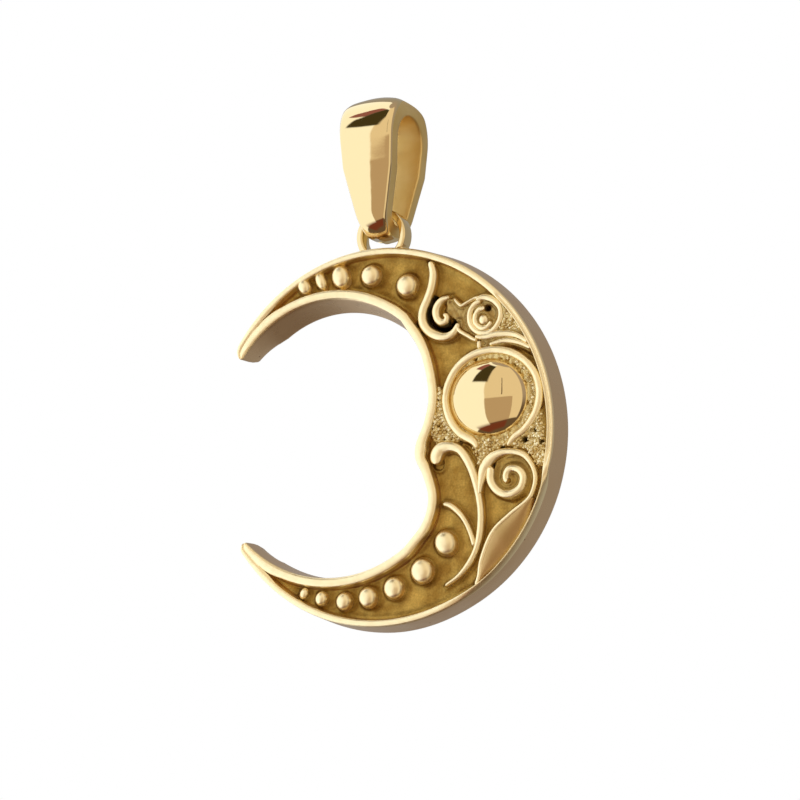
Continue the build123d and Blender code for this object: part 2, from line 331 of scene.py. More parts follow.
outer_in = inward(outer_edge, -way)
inner_in = inward(inner_edge, way)
bevel = within_span(*bevel_span)
groove = within_span(*groove_span)
outer_rim = np.minimum(outer_rim_width - bevel_narrowing * bevel, outer_rim_share * moon_width)
nose_share = np.exp(-(((stations - nose_angle) / nose_spread) ** 2))
inner_rim = np.minimum(inner_rim_width + nose_rim_gain * nose_share, inner_rim_share * moon_width)
pocket_fade = soft_step((moon_width - pocket_least) / pocket_growth)
edge_run = run_along(inner_edge)
flare_fade = np.clip(np.minimum(edge_run, edge_run[-1] - edge_run) / horn_fade, 0, 1)
upper_share = soft_step((stations - inner_flare_start) / flare_turn)
inner_flares = lower_wall_flare + (wall_flare - lower_wall_flare) * upper_share
lower_share = soft_step((outer_flare_start - stations) / flare_turn)
outer_flares = outer_flare + (lower_outer_flare - outer_flare) * lower_share


def file_tips(line, height):
    """A line of the tray with its ends drawn back where the horns' tips are filed."""
    depth = np.clip(1 - height / filed_height, 0, 1)
    for end, step, horn in ((0, 1, upper_horn), (-1, -1, lower_horn)):
        tip = outer_edge[end]
        inner_spot = end + step * horn_stations
        away = (outer_edge[inner_spot] + inner_edge[inner_spot]) / 2 - tip
        away /= np.linalg.norm(away)
        near = np.clip(1 - np.linalg.norm(line - tip, axis=1) / filed_reach, 0, 1)
        line = line + away * (horn[3] * (1 - np.sqrt(1 - depth**2)) * near**0.7)[:, None]
    return line


def side_lines(edge, normal, width, flare, drop, bevelled, grooved):
    """The tray's lines along one edge, one for each row of rim_section."""
    lines = []
    for place_in_section, (share, height) in enumerate(rim_section):
        back = np.clip(1 - height / flared_height, 0, 1)
        reach_in = share * width if share <= 1 else (1 + (share - 1) * pocket_fade) * width
        line = edge + normal * (reach_in - flare * back)[:, None]
        line = line - np.array([0, 1]) * (drop * back)[:, None]
        fade = pocket_fade if place_in_section >= pocket_side else np.ones(len(edge))
        line = seam + (line - seam) * fade[:, None]
        cut = grooved * groove_depth * np.exp(-(((share - groove_place) / groove_width) ** 2))
        slope = bevelled * bevel_depth * (1 - min(share, 1)) ** 1.4
        slope = slope * np.clip((height - bevel_start) / (rim_level - bevel_start), 0, 1)
        top = seam_height + (height - seam_height) * fade - cut * (height > rim_level) - slope
        lines.append(np.column_stack([file_tips(line, height), top]))
    return lines


level = np.zeros(len(stations))
seam = (outer_edge + outer_in * outer_rim[:, None] + inner_edge + inner_in * inner_rim[:, None]) / 2
bevel = np.maximum(bevel, worn_rim * groove)
outer_lines = side_lines(outer_edge, outer_in, outer_rim, outer_flares * flare_fade, level, bevel, groove)
inner_lines = side_lines(inner_edge, inner_in, inner_rim, inner_flares * flare_fade,
                         wall_flare_drop * flare_fade, level, level)
section = np.stack(outer_lines + inner_lines[::-1], axis=1)
ring_size = section.shape[1]
faces = grid_faces(len(stations), ring_size, ring_columns=True)
# The rims' tops are buffed, the walls and back are tumbled
ring_of_face = np.tile(np.arange(ring_size), len(stations) - 1)
rows_a_side = len(rim_section)
row_of_face = np.minimum(ring_of_face, 2 * rows_a_side - 2 - ring_of_face)
on_rim = (row_of_face >= buffed_rows[0]) & (row_of_face < buffed_rows[1])
tray = make_piece("crescent_tray", place_on_moon(section.reshape(-1, 3)), faces,
                  [tumbled_gold, buffed_gold], on_rim.astype(int))
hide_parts("crescent")
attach(tray, "crescent")


# The stems, scrolls and ribbons of the relief: wires carved in the wax, so they grow out of the floor
# with a soft foot. Their tops are polished level with the rims, and their ends taper away.
# Columns of every stem: across and up as shares of moon_radius, width.
upper_stem = [
    (0.303, 0.905, 0.4), (0.316, 0.875, 0.44), (0.325, 0.83, 0.52), (0.308, 0.765, 0.52),
    (0.288, 0.705, 0.52), (0.262, 0.645, 0.52), (0.258, 0.59, 0.54), (0.285, 0.54, 0.54),
    (0.335, 0.508, 0.5), (0.392, 0.497, 0.46), (0.44, 0.515, 0.42), (0.472, 0.562, 0.34),
]
upper_curl = [
    (0.425, 0.702, 0.26), (0.382, 0.694, 0.38), (0.352, 0.672, 0.46), (0.338, 0.634, 0.48),
    (0.344, 0.598, 0.46), (0.368, 0.576, 0.42), (0.396, 0.58, 0.38), (0.404, 0.602, 0.32),
    (0.384, 0.618, 0.24),
]
hook_stem = [
    (0.342, -0.168, 0.7), (0.336, -0.125, 0.82), (0.364, -0.088, 0.76), (0.415, -0.078, 0.58),
    (0.47, -0.1, 0.5), (0.512, -0.15, 0.48), (0.545, -0.225, 0.46), (0.575, -0.33, 0.44),
    (0.59, -0.43, 0.44), (0.584, -0.53, 0.42), (0.56, -0.615, 0.38), (0.52, -0.69, 0.34),
    (0.46, -0.752, 0.28), (0.385, -0.8, 0.2),
]
stem_branch = [
    (0.378, -0.374, 0.24), (0.418, -0.388, 0.32), (0.462, -0.418, 0.34), (0.5, -0.465, 0.34),
    (0.53, -0.53, 0.32), (0.556, -0.6, 0.3),
]
leaf_edge = [
    (0.582, -0.338, 0.28), (0.59, -0.275, 0.38), (0.606, -0.205, 0.62), (0.648, -0.152, 0.58),
    (0.706, -0.126, 0.46), (0.775, -0.125, 0.4), (0.834, -0.15, 0.36), (0.878, -0.2, 0.32),
    (0.894, -0.262, 0.3), (0.882, -0.325, 0.28), (0.85, -0.378, 0.28), (0.75, -0.448, 0.3),
    (0.655, -0.535, 0.3), (0.596, -0.665, 0.3), (0.578, -0.75, 0.32), (0.564, -0.8, 0.32),
]
ribbons = [
    [(0.56, 0.482, 0.24), (0.62, 0.48, 0.4), (0.7, 0.49, 0.42), (0.79, 0.475, 0.4), (0.868, 0.432, 0.3)],
    [(0.64, 0.436, 0.2), (0.735, 0.452, 0.34), (0.815, 0.436, 0.34), (0.884, 0.398, 0.26)],
    [(0.586, 0.416, 0.24), (0.586, 0.44, 0.3), (0.588, 0.462, 0.26)],
    [(0.455, 0.56, 0.18), (0.471, 0.527, 0.26), (0.5, 0.505, 0.26), (0.523, 0.491, 0.26),
     (0.55, 0.476, 0.24), (0.58, 0.462, 0.22)],
    [(0.442, 0.696, 0.16), (0.47, 0.664, 0.22), (0.492, 0.654, 0.24), (0.52, 0.668, 0.22),
     (0.56, 0.686, 0.22), (0.588, 0.69, 0.22)],
]
# The wire round the dome, from its left tail over the top to its right tail
dome_wire_middle = (0.654, 0.164)
dome_wire_reach = 2.94
dome_breadth = 1.08
dome_wire_angles = (246, 225, 203, 180, 158, 135, 113, 90, 67, 45, 22, 0, -22, -45, -62)
dome_wire_width = 0.46
# Curls wound inwards. Columns: middle across and up, first radius, first angle, turns, share of
# the radius kept each turn, first and last width.
curls = [
    (0.7625, -0.254, 1.58, 153.0, 1.22, 0.27, 0.52, 0.38),
    (0.616, 0.589, 1.16, 118.0, -1.04, 0.86, 0.4, 0.36),
    (0.613, 0.574, 0.66, 80.0, 0.72, 0.8, 0.38, 0.32),
]
# A square-shouldered section from its root in the floor to its polished top, lower where a stem
# is narrower than full_width
wire_top = 2.1
wire_root = floor_height - 0.12
section_power = 0.25
narrow_share = 0.55
full_width = 0.26
stem_gain = 1.16
# How far a hand-carved stem strays in its width, and sideways as a share of that
hand_wobble = 0.035
sideways_share = 0.4
per_span = 10


def curl_rows(across, up, first_radius, first_angle, turns, kept, first_width, last_width):
    """Rows of a stem wound inwards, keeping one share of its radius each turn."""
    place_in_curl = np.linspace(0, 1, 16)
    radius = first_radius / moon_radius * kept ** (abs(turns) * place_in_curl)
    angle = np.radians(first_angle + 360 * turns * place_in_curl)
    widths = first_width + (last_width - first_width) * place_in_curl
    return np.column_stack([across + radius * np.cos(angle), up + radius * np.sin(angle), widths])


dome_wire = [(dome_wire_middle[0] + dome_breadth * dome_wire_reach / moon_radius * cos(radians(angle)),
              dome_wire_middle[1] + dome_wire_reach / moon_radius * sin(radians(angle)),
              dome_wire_width) for angle in dome_wire_angles]
dome_wire = [(0.575, -0.098, 0.22)] + dome_wire + [(0.742, -0.098, 0.22)]
all_stems = [upper_stem, upper_curl, hook_stem, stem_branch, leaf_edge, *ribbons, dome_wire]
all_stems += [curl_rows(*row) for row in curls]
stem_lines = []
rng = np.random.default_rng(3)
for rows in all_stems:
    line = smooth_through(rows, per_span)
    line[:, :2] *= moon_radius
    uneven = smooth_through(rng.normal(0, hand_wobble, (len(rows), 3)), per_span)
    line[:, :2] += sideways_share * uneven[:, :2]
    line[:, 2] *= stem_gain * (1 + uneven[:, 2])
    stem_lines.append(line)


def rounded_ends(line):
    """The line's widths drawn in to a half circle at both ends."""
    run = run_along(line[:, :2])
    widths = line[:, 2].copy()
    for from_end in (run, run[-1] - run):
        half = line[:, 2] / 2
        widths *= np.sqrt(np.clip(1 - np.clip(1 - from_end / half, 0, 1) ** 2, 0.004, 1))
    return widths


def new_group(name, sockets):
    """A Geometry Nodes group that takes geometry, the named sizes and a gold, with its input sockets."""
    tree = bpy.data.node_groups.new(name, "GeometryNodeTree")
    for socket, kind in {"Geometry": "Geometry", **sockets, "Gold": "Material"}.items():
        tree.interface.new_socket(socket, in_out="INPUT", socket_type="NodeSocket" + kind)
    tree.interface.new_socket("Geometry", in_out="OUTPUT", socket_type="NodeSocketGeometry")
    return tree, add_node(tree, "NodeGroupInput").outputs


def end_group(tree, given, geometry):
    """Ends a group: its instances are made real and get their gold."""
    realized = add_node(tree, "RealizeInstances", {"Geometry": geometry})
    gilded = add_node(tree, "SetMaterial", {"Geometry": realized, "Material": given["Gold"]})
    add_node(tree, "NodeGroupOutput", {"Geometry": gilded})


# Sweeps a round-topped section with a spreading foot along each stem
tree, given = new_group("Stem sweep", {
    "Section points": "Int", "Foot spread": "Float", "Root height": "Float"})
stem_curve = add_node(tree, "MeshToCurve", {"Mesh": given["Geometry"]})
flat_turn = add_node(tree, "SetCurveNormal", {"Curve": stem_curve}, mode="Z_UP")
half, lift = [add_node(tree, "InputNamedAttribute", {"Name": name})
              for name in ("half_width", "lift")]
line = add_node(tree, "CurvePrimitiveLine")
section_line = add_node(tree, "ResampleCurve", {
    "Curve": line, "Count": given["Section points"]})
factor = add_node(tree, "SplineParameter")
turn = add_node(tree, "Math", {0: factor, 1: pi}, operation="MULTIPLY")
side = add_node(tree, "Math", {0: turn}, operation="COSINE")
rise = add_node(tree, "Math", {0: turn}, operation="SINE", use_clamp=True)
full_rise = add_node(tree, "Math", {0: rise, 1: section_power}, operation="POWER")
low = add_node(tree, "Math", {0: 1.0, 1: full_rise}, operation="SUBTRACT")
low_cubed = add_node(tree, "Math", {0: low, 1: 3.0}, operation="POWER")
spread = add_node(tree, "Math", {0: low_cubed, 1: given["Foot spread"], 2: 1.0}, operation="MULTIPLY_ADD")
side_full = add_node(tree, "Math", {0: side, 1: spread}, operation="MULTIPLY")
section_place = add_node(tree, "CombineXYZ", {"X": side_full, "Y": full_rise})
section_shape = add_node(tree, "SetPosition", {
    "Geometry": section_line, "Position": section_place})
section_ring = add_node(tree, "SetSplineCyclic", {"Geometry": section_shape, "Cyclic": True})
swept = add_node(tree, "CurveToMesh", {
    "Curve": flat_turn, "Profile Curve": section_ring, "Scale": half, "Fill Caps": True})
where = add_node(tree, "InputPosition")
parts = add_node(tree, "SeparateXYZ", {"Vector": where})
rise_here = add_node(tree, "Math", {0: parts.outputs["Z"]}, operation="ABSOLUTE")
height = add_node(tree, "Math", {0: rise_here, 1: lift, 2: given["Root height"]}, operation="MULTIPLY_ADD")
final_place = add_node(tree, "CombineXYZ", {
    "X": parts.outputs["X"], "Y": parts.outputs["Y"], "Z": height})
raised = add_node(tree, "SetPosition", {"Geometry": swept, "Position": final_place})
end_group(tree, given, raised)


def grown_piece(name, points, edges, faces, point_values, group, settings):
    """Runs a Geometry Nodes group on a base mesh and keeps the result as a plain piece."""
    base = bpy.data.objects.new("base", plain_mesh("base", points, edges, faces, point_values))
    bpy.context.scene.collection.objects.link(base)
    modifier = base.modifiers.new("grow", "NODES")
    modifier.node_group = group
    sockets = {item.name: item.identifier for item in group.interface.items_tree if item.in_out == "INPUT"}
    for key, value in settings.items():
        modifier[sockets[key]] = value
    bpy.context.view_layer.update()
    result = bpy.data.meshes.new_from_object(base.evaluated_get(bpy.context.evaluated_depsgraph_get()))
    bpy.data.objects.remove(base)
    spots = np.empty(3 * len(result.vertices), np.float32)
    result.vertices.foreach_get("co", spots)
    result.vertices.foreach_set("co", place_on_moon(spots.reshape(-1, 3)).ravel())
    for key in point_values:
        if key in result.attributes:
            result.attributes.remove(result.attributes[key])
    result.name = name
    return as_piece(name, result, merged=False)


points, edges, half_widths, lifts = [], [], [], []
for line in stem_lines:
    first = len(points)
    half = rounded_ends(line) / 2
    points += [(x, y, 0.0) for x, y, _ in line]
    edges += [(first + i, first + i + 1) for i in range(len(line) - 1)]
    half_widths += list(half)
    top_share = narrow_share + (1 - narrow_share) * np.clip(2 * half / full_width, 0, 1)
    lifts += list((wire_top - wire_root) * top_share / half)
stems = grown_piece("relief_stems", points, edges, [], {"half_width": half_widths, "lift": lifts}, tree, {
    "Section points": 25, "Foot spread": 0.2, "Root height": wire_root, "Gold": buffed_gold})
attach(stems, "crescent")


# The beads in both horns: round drops modelled in the wax, largest next to the scrolls and smaller
# towards the tips. Each has a spreading foot where it grows out of the floor.
# Columns: angle round the moon, share of moon_radius, width along the band and length across it.
beads = [
    (78.0, 0.805, 1.5, 1.5), (93.0, 0.86, 1.42, 1.42), (104.5, 0.896, 1.3, 1.6),
    (112.0, 0.924, 0.8, 1.36), (118.0, 0.942, 0.96, 1.16), (-56.0, 0.695, 1.5, 1.62),
    (-70.5, 0.76, 1.58, 1.62), (-83.5, 0.805, 1.42, 1.46), (-94.0, 0.846, 1.3, 1.36),
    (-103.0, 0.884, 1.1, 1.2), (-111.5, 0.906, 0.9, 1.0), (-118.5, 0.925, 0.62, 0.84),
    (29.0, 0.828, 0.5, 0.5), (42.9, 0.836, 0.8, 0.8),
]
bead_height = 0.78
bead_height_share = 0.8
bead_fullness = 0.66
bead_foot_height = 0.45

tree, given = new_group("Bead setting", {
    "Segments": "Int", "Rings": "Int", "Fullness": "Float", "Foot spread": "Float"})
ball = add_node(tree, "MeshUVSphere", {
    "Segments": given["Segments"], "Rings": given["Rings"], "Radius": 1.0})
where = add_node(tree, "InputPosition")
parts = add_node(tree, "SeparateXYZ", {"Vector": where})
up_share = add_node(tree, "Math", {0: parts.outputs["Z"]}, operation="ABSOLUTE")
full_up = add_node(tree, "Math", {0: up_share, 1: given["Fullness"]}, operation="POWER")
up_side = add_node(tree, "Math", {0: parts.outputs["Z"]}, operation="SIGN")
signed_up = add_node(tree, "Math", {0: full_up, 1: up_side}, operation="MULTIPLY")
flat_place = add_node(tree, "VectorMath", {0: where, 1: (1.0, 1.0, 0.0)}, operation="MULTIPLY")
from_axis = add_node(tree, "VectorMath", {0: flat_place}, operation="LENGTH")
kept_axis = add_node(tree, "Math", {0: from_axis, 1: 0.001}, operation="MAXIMUM")
full_power = add_node(tree, "Math", {0: given["Fullness"], 1: 1.0}, operation="SUBTRACT")
full_out = add_node(tree, "Math", {0: kept_axis, 1: full_power}, operation="POWER")
low = add_node(tree, "Math", {0: bead_foot_height, 1: full_up}, operation="SUBTRACT", use_clamp=True)
spread = add_node(tree, "Math", {0: low, 1: given["Foot spread"], 2: full_out}, operation="MULTIPLY_ADD")
drop_flat = add_node(tree, "VectorMath", {0: flat_place, "Scale": spread}, operation="SCALE")
drop_up = add_node(tree, "CombineXYZ", {"Z": signed_up})
drop_place = add_node(tree, "VectorMath", {0: drop_flat, 1: drop_up}, operation="ADD")
drop = add_node(tree, "SetPosition", {"Geometry": ball, "Position": drop_place})
across, along, high, heading = [add_node(tree, "InputNamedAttribute", {"Name": name})
                                for name in ("across", "along", "high", "heading")]
size = add_node(tree, "CombineXYZ", {"X": across, "Y": along, "Z": high})
turn = add_node(tree, "CombineXYZ", {"Z": heading})
set_drops = add_node(tree, "InstanceOnPoints", {
    "Points": given["Geometry"], "Instance": drop, "Rotation": turn, "Scale": size})
end_group(tree, given, set_drops)

angle, share, width, length = np.array(beads).T
heading = np.radians(angle)
reach = share * moon_radius
bead_points = np.column_stack([reach * np.cos(heading), reach * np.sin(heading), 0 * reach + floor_height])
bead_sizes = {"along": width / 2, "across": length / 2, "heading": heading,
              "high": np.minimum(bead_height, bead_height_share * width)}
bead_piece = grown_piece("relief_beads", bead_points, [], [], bead_sizes, tree, {
    "Segments": 40, "Rings": 28, "Fullness": bead_fullness, "Foot spread": 0.3, "Gold": buffed_gold})
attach(bead_piece, "crescent")


# The dome: a large smooth cabochon, modelled in the wax and cast in gold with the moon. It stands proud
# of the rims, so the wheel reaches all of it and it is polished to a mirror.
# The gold is polished with rouge: a mirror with the faint waves of hand work and of the casting
polished_gold, tree, waves, scuffs = new_material("Polished 18 carat gold", (420.0, 1.0), (2600.0, 4.0))
finish_gold(tree, linear("#E6CF9B"), (scuffs, 0.35, 0.75, 0.03, 0.07), (waves, 0.25, 0.00012),
            (scuffs, 0.08, 0.00001))

# Its outline is a full curve that starts dome_root under the floor
dome_middle = (0.633, 0.164)
dome_radius = 2.6
dome_rise = 1.36
dome_root = 0.25
dome_fullness = 2.1
dome_rings = 36
dome_segments = 96
dome_base = floor_height - dome_root
dome_rows = []
for ring in range(dome_rings):
    tilt = pi / 2 * ring / (dome_rings - 1)
    dome_rows.append((dome_radius * sin(tilt) ** (2 / dome_fullness),
                      dome_base + (dome_rise + dome_root) * cos(tilt) ** (2 / dome_fullness)))
dome_rows += [(dome_radius, dome_base - 0.1), (0.0, dome_base - 0.1)]
points = []
for reach, height in dome_rows:
    for segment in range(dome_segments):
        angle = 2 * pi * segment / dome_segments
        points.append((dome_middle[0] * moon_radius + dome_breadth * reach * cos(angle),
                       dome_middle[1] * moon_radius + reach * sin(angle), height))
dome = make_piece("relief_dome", place_on_moon(points),
                  grid_faces(len(dome_rows), dome_segments, ring_columns=True), [polished_gold])
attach(dome, "crescent")


# The floor of the tray between the rims: left from the casting and matted with fine grit, with the
# low granulated grounds that carry the scrolls. Its corners, pits and the gaps between its lumps are
# darkened with painted shade, joined by the dark of old polish in the deepest corners.
# Grounds as shares of moon_radius, each with its rise above the floor and how grainy it is
grounds = [
    (0.34, 0.3, [(0.385, 0.64), (0.4, 0.705), (0.44, 0.7), (0.492, 0.655), (0.585, 0.69), (0.68, 0.69),
                 (0.86, 0.5), (0.885, 0.37), (0.76, 0.425), (0.58, 0.42), (0.59, 0.455), (0.47, 0.54),
                 (0.43, 0.59)]),
    (0.34, 1.0, [(0.7, 0.712), (0.765, 0.65), (0.82, 0.56), (0.86, 0.48), (0.79, 0.5), (0.705, 0.51),
                 (0.722, 0.59)]),
    (0.26, 1.0, [(0.35, 0.235), (0.4, 0.215), (0.42, 0.05), (0.54, -0.06), (0.33, -0.06),
                 (0.305, -0.01)]),
    (0.26, 1.0, [(0.5, 0.0), (0.65, -0.05), (0.8, 0.0), (0.93, 0.08), (0.95, -0.2), (0.905, -0.21),
                 (0.84, -0.11), (0.74, -0.095), (0.64, -0.11), (0.58, -0.2)]),
    (0.3, 0.1, [(0.64, -0.254), (0.675, -0.165), (0.762, -0.125), (0.85, -0.165), (0.885, -0.254),
                (0.85, -0.345), (0.762, -0.38), (0.675, -0.345)]),
]
# Small pits left in the wax, darkened below with painted shade and the dark of old polish.
# Columns: across and up as shares of moon_radius, radius, depth.
floor_pits = [
    (0.292, 0.908, 0.24, 0.3), (0.225, 0.583, 0.2, 0.3), (0.258, 0.533, 0.18, 0.3),
    (0.542, 0.6, 0.26, 0.4), (0.558, 0.525, 0.26, 0.4), (0.636, 0.628, 0.22, 0.4),
    (0.433, 0.233, 0.16, 0.25), (0.433, 0.158, 0.18, 0.25), (0.433, 0.058, 0.18, 0.25),
    (0.483, 0.3, 0.18, 0.25), (0.558, 0.375, 0.2, 0.35), (0.7, 0.35, 0.16, 0.3),
    (0.735, 0.338, 0.16, 0.35), (0.775, 0.318, 0.16, 0.3), (0.833, -0.067, 0.22, 0.4),
    (0.708, -0.105, 0.18, 0.35), (0.925, -0.083, 0.2, 0.35), (0.85, 0.01, 0.16, 0.3),
    (0.89, -0.02, 0.14, 0.3), (0.585, -0.4, 0.14, 0.3), (0.35, 0.03, 0.12, 0.25),
    (0.385, -0.04, 0.12, 0.25), (0.47, -0.06, 0.12, 0.25),
]
# The deep channel between the upper stem and its curl, darkened like the pits with painted shade, as
# shares of moon_radius
channel_rows = [
    (0.318, 0.702), (0.296, 0.655), (0.288, 0.605), (0.298, 0.565), (0.325, 0.54), (0.366, 0.53),
    (0.408, 0.538), (0.44, 0.562),
]
channel_width = 0.24
channel_depth = 0.6
across_floor = 112
# The floor starts inside the rims' walls, at a share of each rim's width, and is seen from under_wall on
floor_start = 0.985
under_wall = 0.14
# Where the metal rises to a soft foot, and where painted shade joined by the dark of old polish darkens
# it: most of it, and its reach
stem_foot = (0.16, 0.12)
bead_foot = (0.1, 0.25)
wall_foot = (0.1, 0.22)
stem_shade = (0.34, 0.35)
wall_shade = (0.2, 0.4)
ground_fade = 0.35
# The channel between the dome and its wire: its rise above the floor, and how grainy it is
ring_rise = 0.22
ring_graininess = 0.95
# It fades out beyond the wire's middle line, and below the level where the wire's tails end
ring_edge = 0.2
ring_edge_fade = 0.1
ring_end = -0.9
ring_end_fade = 0.5
# Soft casting swells about 1 mm across, and lumps of 0.25 mm on the granulated grounds
swells = 900
lump_seeds = 2600
least_lump = 0.1
largest_lump = 0.2
lump_share = 0.8
points_at_once = 4000
# The floor's height in the horns' tips, where it ends under the rims' seam, and its greatest height
tip_level = 2.08
highest_floor = 2.14

# The grit leaves a fine tooth that scatters light. One attribute darkens it with painted shade and the
# dark of old polish; the grainy attribute pales it with painted light where the lumps catch the light
matte_gold, tree, patches, grit = new_material("Sandblasted 18 carat gold", (900.0, 4.0), (9000.0, 3.0))
recess_shade_and_polish, grainy = [add_node(tree, "Attribute", attribute_name=name).outputs["Fac"]
                  for name in ("recess_shade_and_polish", "grainy")]
patch_share = add_node(tree, "MapRange", {"Value": patches, "From Min": 0.35, "From Max": 0.65})
open_tone = add_node(tree, "Mix", {
    "Factor": patch_share, "A": linear("#987230"), "B": linear("#CAA452")}, data_type="RGBA")
# Painted light: the granulated grounds are paled toward a light gold, for the lumps that catch the light
grain_lit_tone = add_node(tree, "Mix", {
    "Factor": grainy, "A": open_tone, "B": linear("#E2CB8C")}, data_type="RGBA")
speckle = add_node(tree, "MapRange", {
    "Value": grit, "From Min": 0.3, "From Max": 0.7, "To Min": 0.78, "To Max": 1.12})
speckled = add_node(tree, "Mix", {
    "Factor": 1.0, "A": grain_lit_tone, "B": speckle}, data_type="RGBA", blend_type="MULTIPLY")
# Painted shade: the corners, pits and gaps between lumps go toward a near-black brown, with the dark of old
# polish
tone = add_node(tree, "Mix", {"Factor": recess_shade_and_polish, "A": speckled, "B": linear("#2E1C06")}, data_type="RGBA")
finish_gold(tree, tone, (patches, 0.3, 0.7, 0.36, 0.5), (grit, 0.5, 0.00003))

pocket_outer = outer_edge + outer_in * (floor_start * outer_rim)[:, None]
pocket_inner = inner_edge + inner_in * (floor_start * inner_rim)[:, None]
across_share = np.linspace(0, 1, across_floor)[None, :, None]
floor_plan = pocket_outer[:, None, :] * (1 - across_share) + pocket_inner[:, None, :] * across_share
plan = floor_plan.reshape(-1, 2)
pocket_span = np.linalg.norm(pocket_outer - pocket_inner, axis=1)[:, None]
from_wall = (np.minimum(across_share, 1 - across_share)[..., 0] * pocket_span).reshape(-1) - under_wall


def distance_outside(points, corners):
    """How far points lie outside a closed outline, below 0 for those inside it."""
    corners = np.array(corners) * moon_radius
    nearest = np.full(len(points), 1e9)
    inside = np.zeros(len(points), bool)
    for a, b in zip(corners, np.roll(corners, -1, axis=0)):
        run = b - a
        share = np.clip(((points - a) @ run) / (run @ run), 0, 1)
        nearest = np.minimum(nearest, np.linalg.norm(points - a - share[:, None] * run, axis=1))
        crosses = (a[1] > points[:, 1]) != (b[1] > points[:, 1])
        slope = run[0] / run[1] if abs(run[1]) > 1e-9 else 0.0
        inside ^= crosses & (points[:, 0] < a[0] + (points[:, 1] - a[1]) * slope)
    return np.where(inside, -nearest, nearest)


def from_middle(middle):
    """How far the floor's points are from the middle of the dome or its wire, which are a little broad."""
    across, up = plan.T - moon_radius * np.array(middle)[:, None]
    return np.hypot(across / dome_breadth, up)


def close_to(gap, most, reach):
    """A value that is at its most where a gap is closed and fades over its reach."""
    return most * np.exp(-((np.maximum(gap, 0) / reach) ** 2))


from_stem = np.full(len(plan), 1e9)
for line in stem_lines:
    low, high = line[:, :2].min(0) - 1.0, line[:, :2].max(0) + 1.0
    near = np.nonzero(np.all((plan > low) & (plan < high), axis=1))[0]
    gaps = np.linalg.norm(plan[near, None, :] - line[None, ::2, :2], axis=2) - line[None, ::2, 2] / 2
    from_stem[near] = np.minimum(from_stem[near], gaps.min(axis=1))
from_bead = np.full(len(plan), 1e9)
for (x, y, _), (_, _, width, _) in zip(bead_points, beads):
    from_bead = np.minimum(from_bead, np.hypot(plan[:, 0] - x, plan[:, 1] - y) - width / 2)
from_stem = np.minimum(np.minimum(from_stem, from_bead), from_middle(dome_middle) - dome_radius)
from_ring = from_middle(dome_wire_middle) - dome_wire_reach

rng = np.random.default_rng(7)
lift = np.zeros(len(plan))
grain = np.zeros(len(plan))
for rise, graininess, corners in grounds:
    outside = distance_outside(plan, corners)
    cover = soft_step(0.5 - outside / ground_fade)
    lift = np.maximum(lift, rise * cover)
    grain = np.maximum(grain, graininess * cover)
annulus = soft_step((ring_edge - from_ring) / ring_edge_fade)
annulus *= soft_step((plan[:, 1] - ring_end) / ring_end_fade)
lift = np.where(annulus > 0.5, ring_rise, lift)
grain = np.where(annulus > 0.5, ring_graininess, grain)

swell = np.zeros(len(plan))
for across, up, reach, rise in rng.uniform((-12, -12, 0.3, -0.03), (12, 12, 0.8, 0.03), (swells, 4)):
    swell += rise * np.exp(-((plan[:, 0] - across) ** 2 + (plan[:, 1] - up) ** 2) / reach**2)
lumps = np.zeros(len(plan))
grainy = np.nonzero(grain > 0.05)[0]
low, high = plan[grainy].min(0), plan[grainy].max(0)
seeds = rng.uniform(low, high, (lump_seeds, 2))
sizes = rng.uniform(least_lump, largest_lump, lump_seeds)
for start in range(0, len(grainy), points_at_once):
    some = grainy[start : start + points_at_once]
    gaps = np.linalg.norm(plan[some, None, :] - seeds[None, :, :], axis=2) / sizes
    lumps[some] = (np.sqrt(np.clip(1 - gaps**2, 0, 1)) * sizes).max(axis=1)
foot = close_to(from_stem, *stem_foot) + close_to(from_bead, *bead_foot) + close_to(from_wall, *wall_foot)
foot *= (1 - 0.6 * annulus) * soft_step(from_stem / stem_foot[1] + 1)
pit = np.zeros(len(plan))
for across, up, radius, depth in floor_pits:
    gap = np.hypot(plan[:, 0] - across * moon_radius, plan[:, 1] - up * moon_radius) / radius
    pit = np.maximum(pit, depth * soft_step(1.2 - gap))
channel = smooth_through(channel_rows, 8) * moon_radius
gap = np.linalg.norm(plan[:, None, :] - channel[None, :, :], axis=2).min(axis=1) / channel_width
pit = np.maximum(pit, channel_depth * soft_step(1.3 - gap))
top = floor_height + lift + swell + lump_share * grain * lumps + foot - pit
fade = np.repeat(pocket_fade, across_floor)
top = np.minimum(tip_level - (tip_level - top) * fade, highest_floor)
# Painted shade beside the stems, beads, dome and walls, weaker on the granulated grounds and strong in the
# pits and between low lumps, joined by the dark of old polish in the corners
crevice_shade_and_polish = close_to(from_stem, *stem_shade) + close_to(from_wall, *wall_shade)
crevice_shade_and_polish = crevice_shade_and_polish * (1 - 0.8 * grain) + 2.2 * pit + 0.15 * grain * (least_lump - lumps) / least_lump
crevice_shade_and_polish = np.clip(crevice_shade_and_polish, 0, 1)
points = np.column_stack([plan, top])
skin_faces = grid_faces(len(stations), across_floor)
ground = make_piece("relief_floor", place_on_moon(points), skin_faces, [matte_gold],
                    point_values={"recess_shade_and_polish": crevice_shade_and_polish, "grainy": grain})
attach(ground, "crescent")


# The granulation: small grains of gold, worked in the wax in an uneven crowd on the low grounds and
# in the channel round the dome, and cast with them. The barrel leaves them pale and rough.
grained_gold, tree, patches, grit = new_material(
    "Cast granulated 18 carat gold", (2200.0, 3.0), (9000.0, 3.0))
patch_share = add_node(tree, "MapRange", {"Value": patches, "From Min": 0.38, "From Max": 0.58})
tone = add_node(tree, "Mix", {
    "Factor": patch_share, "A": linear("#D2B672"), "B": linear("#FAEFC6")}, data_type="RGBA")
finish_gold(tree, tone, 0.42, (grit, 0.6, 0.00003))

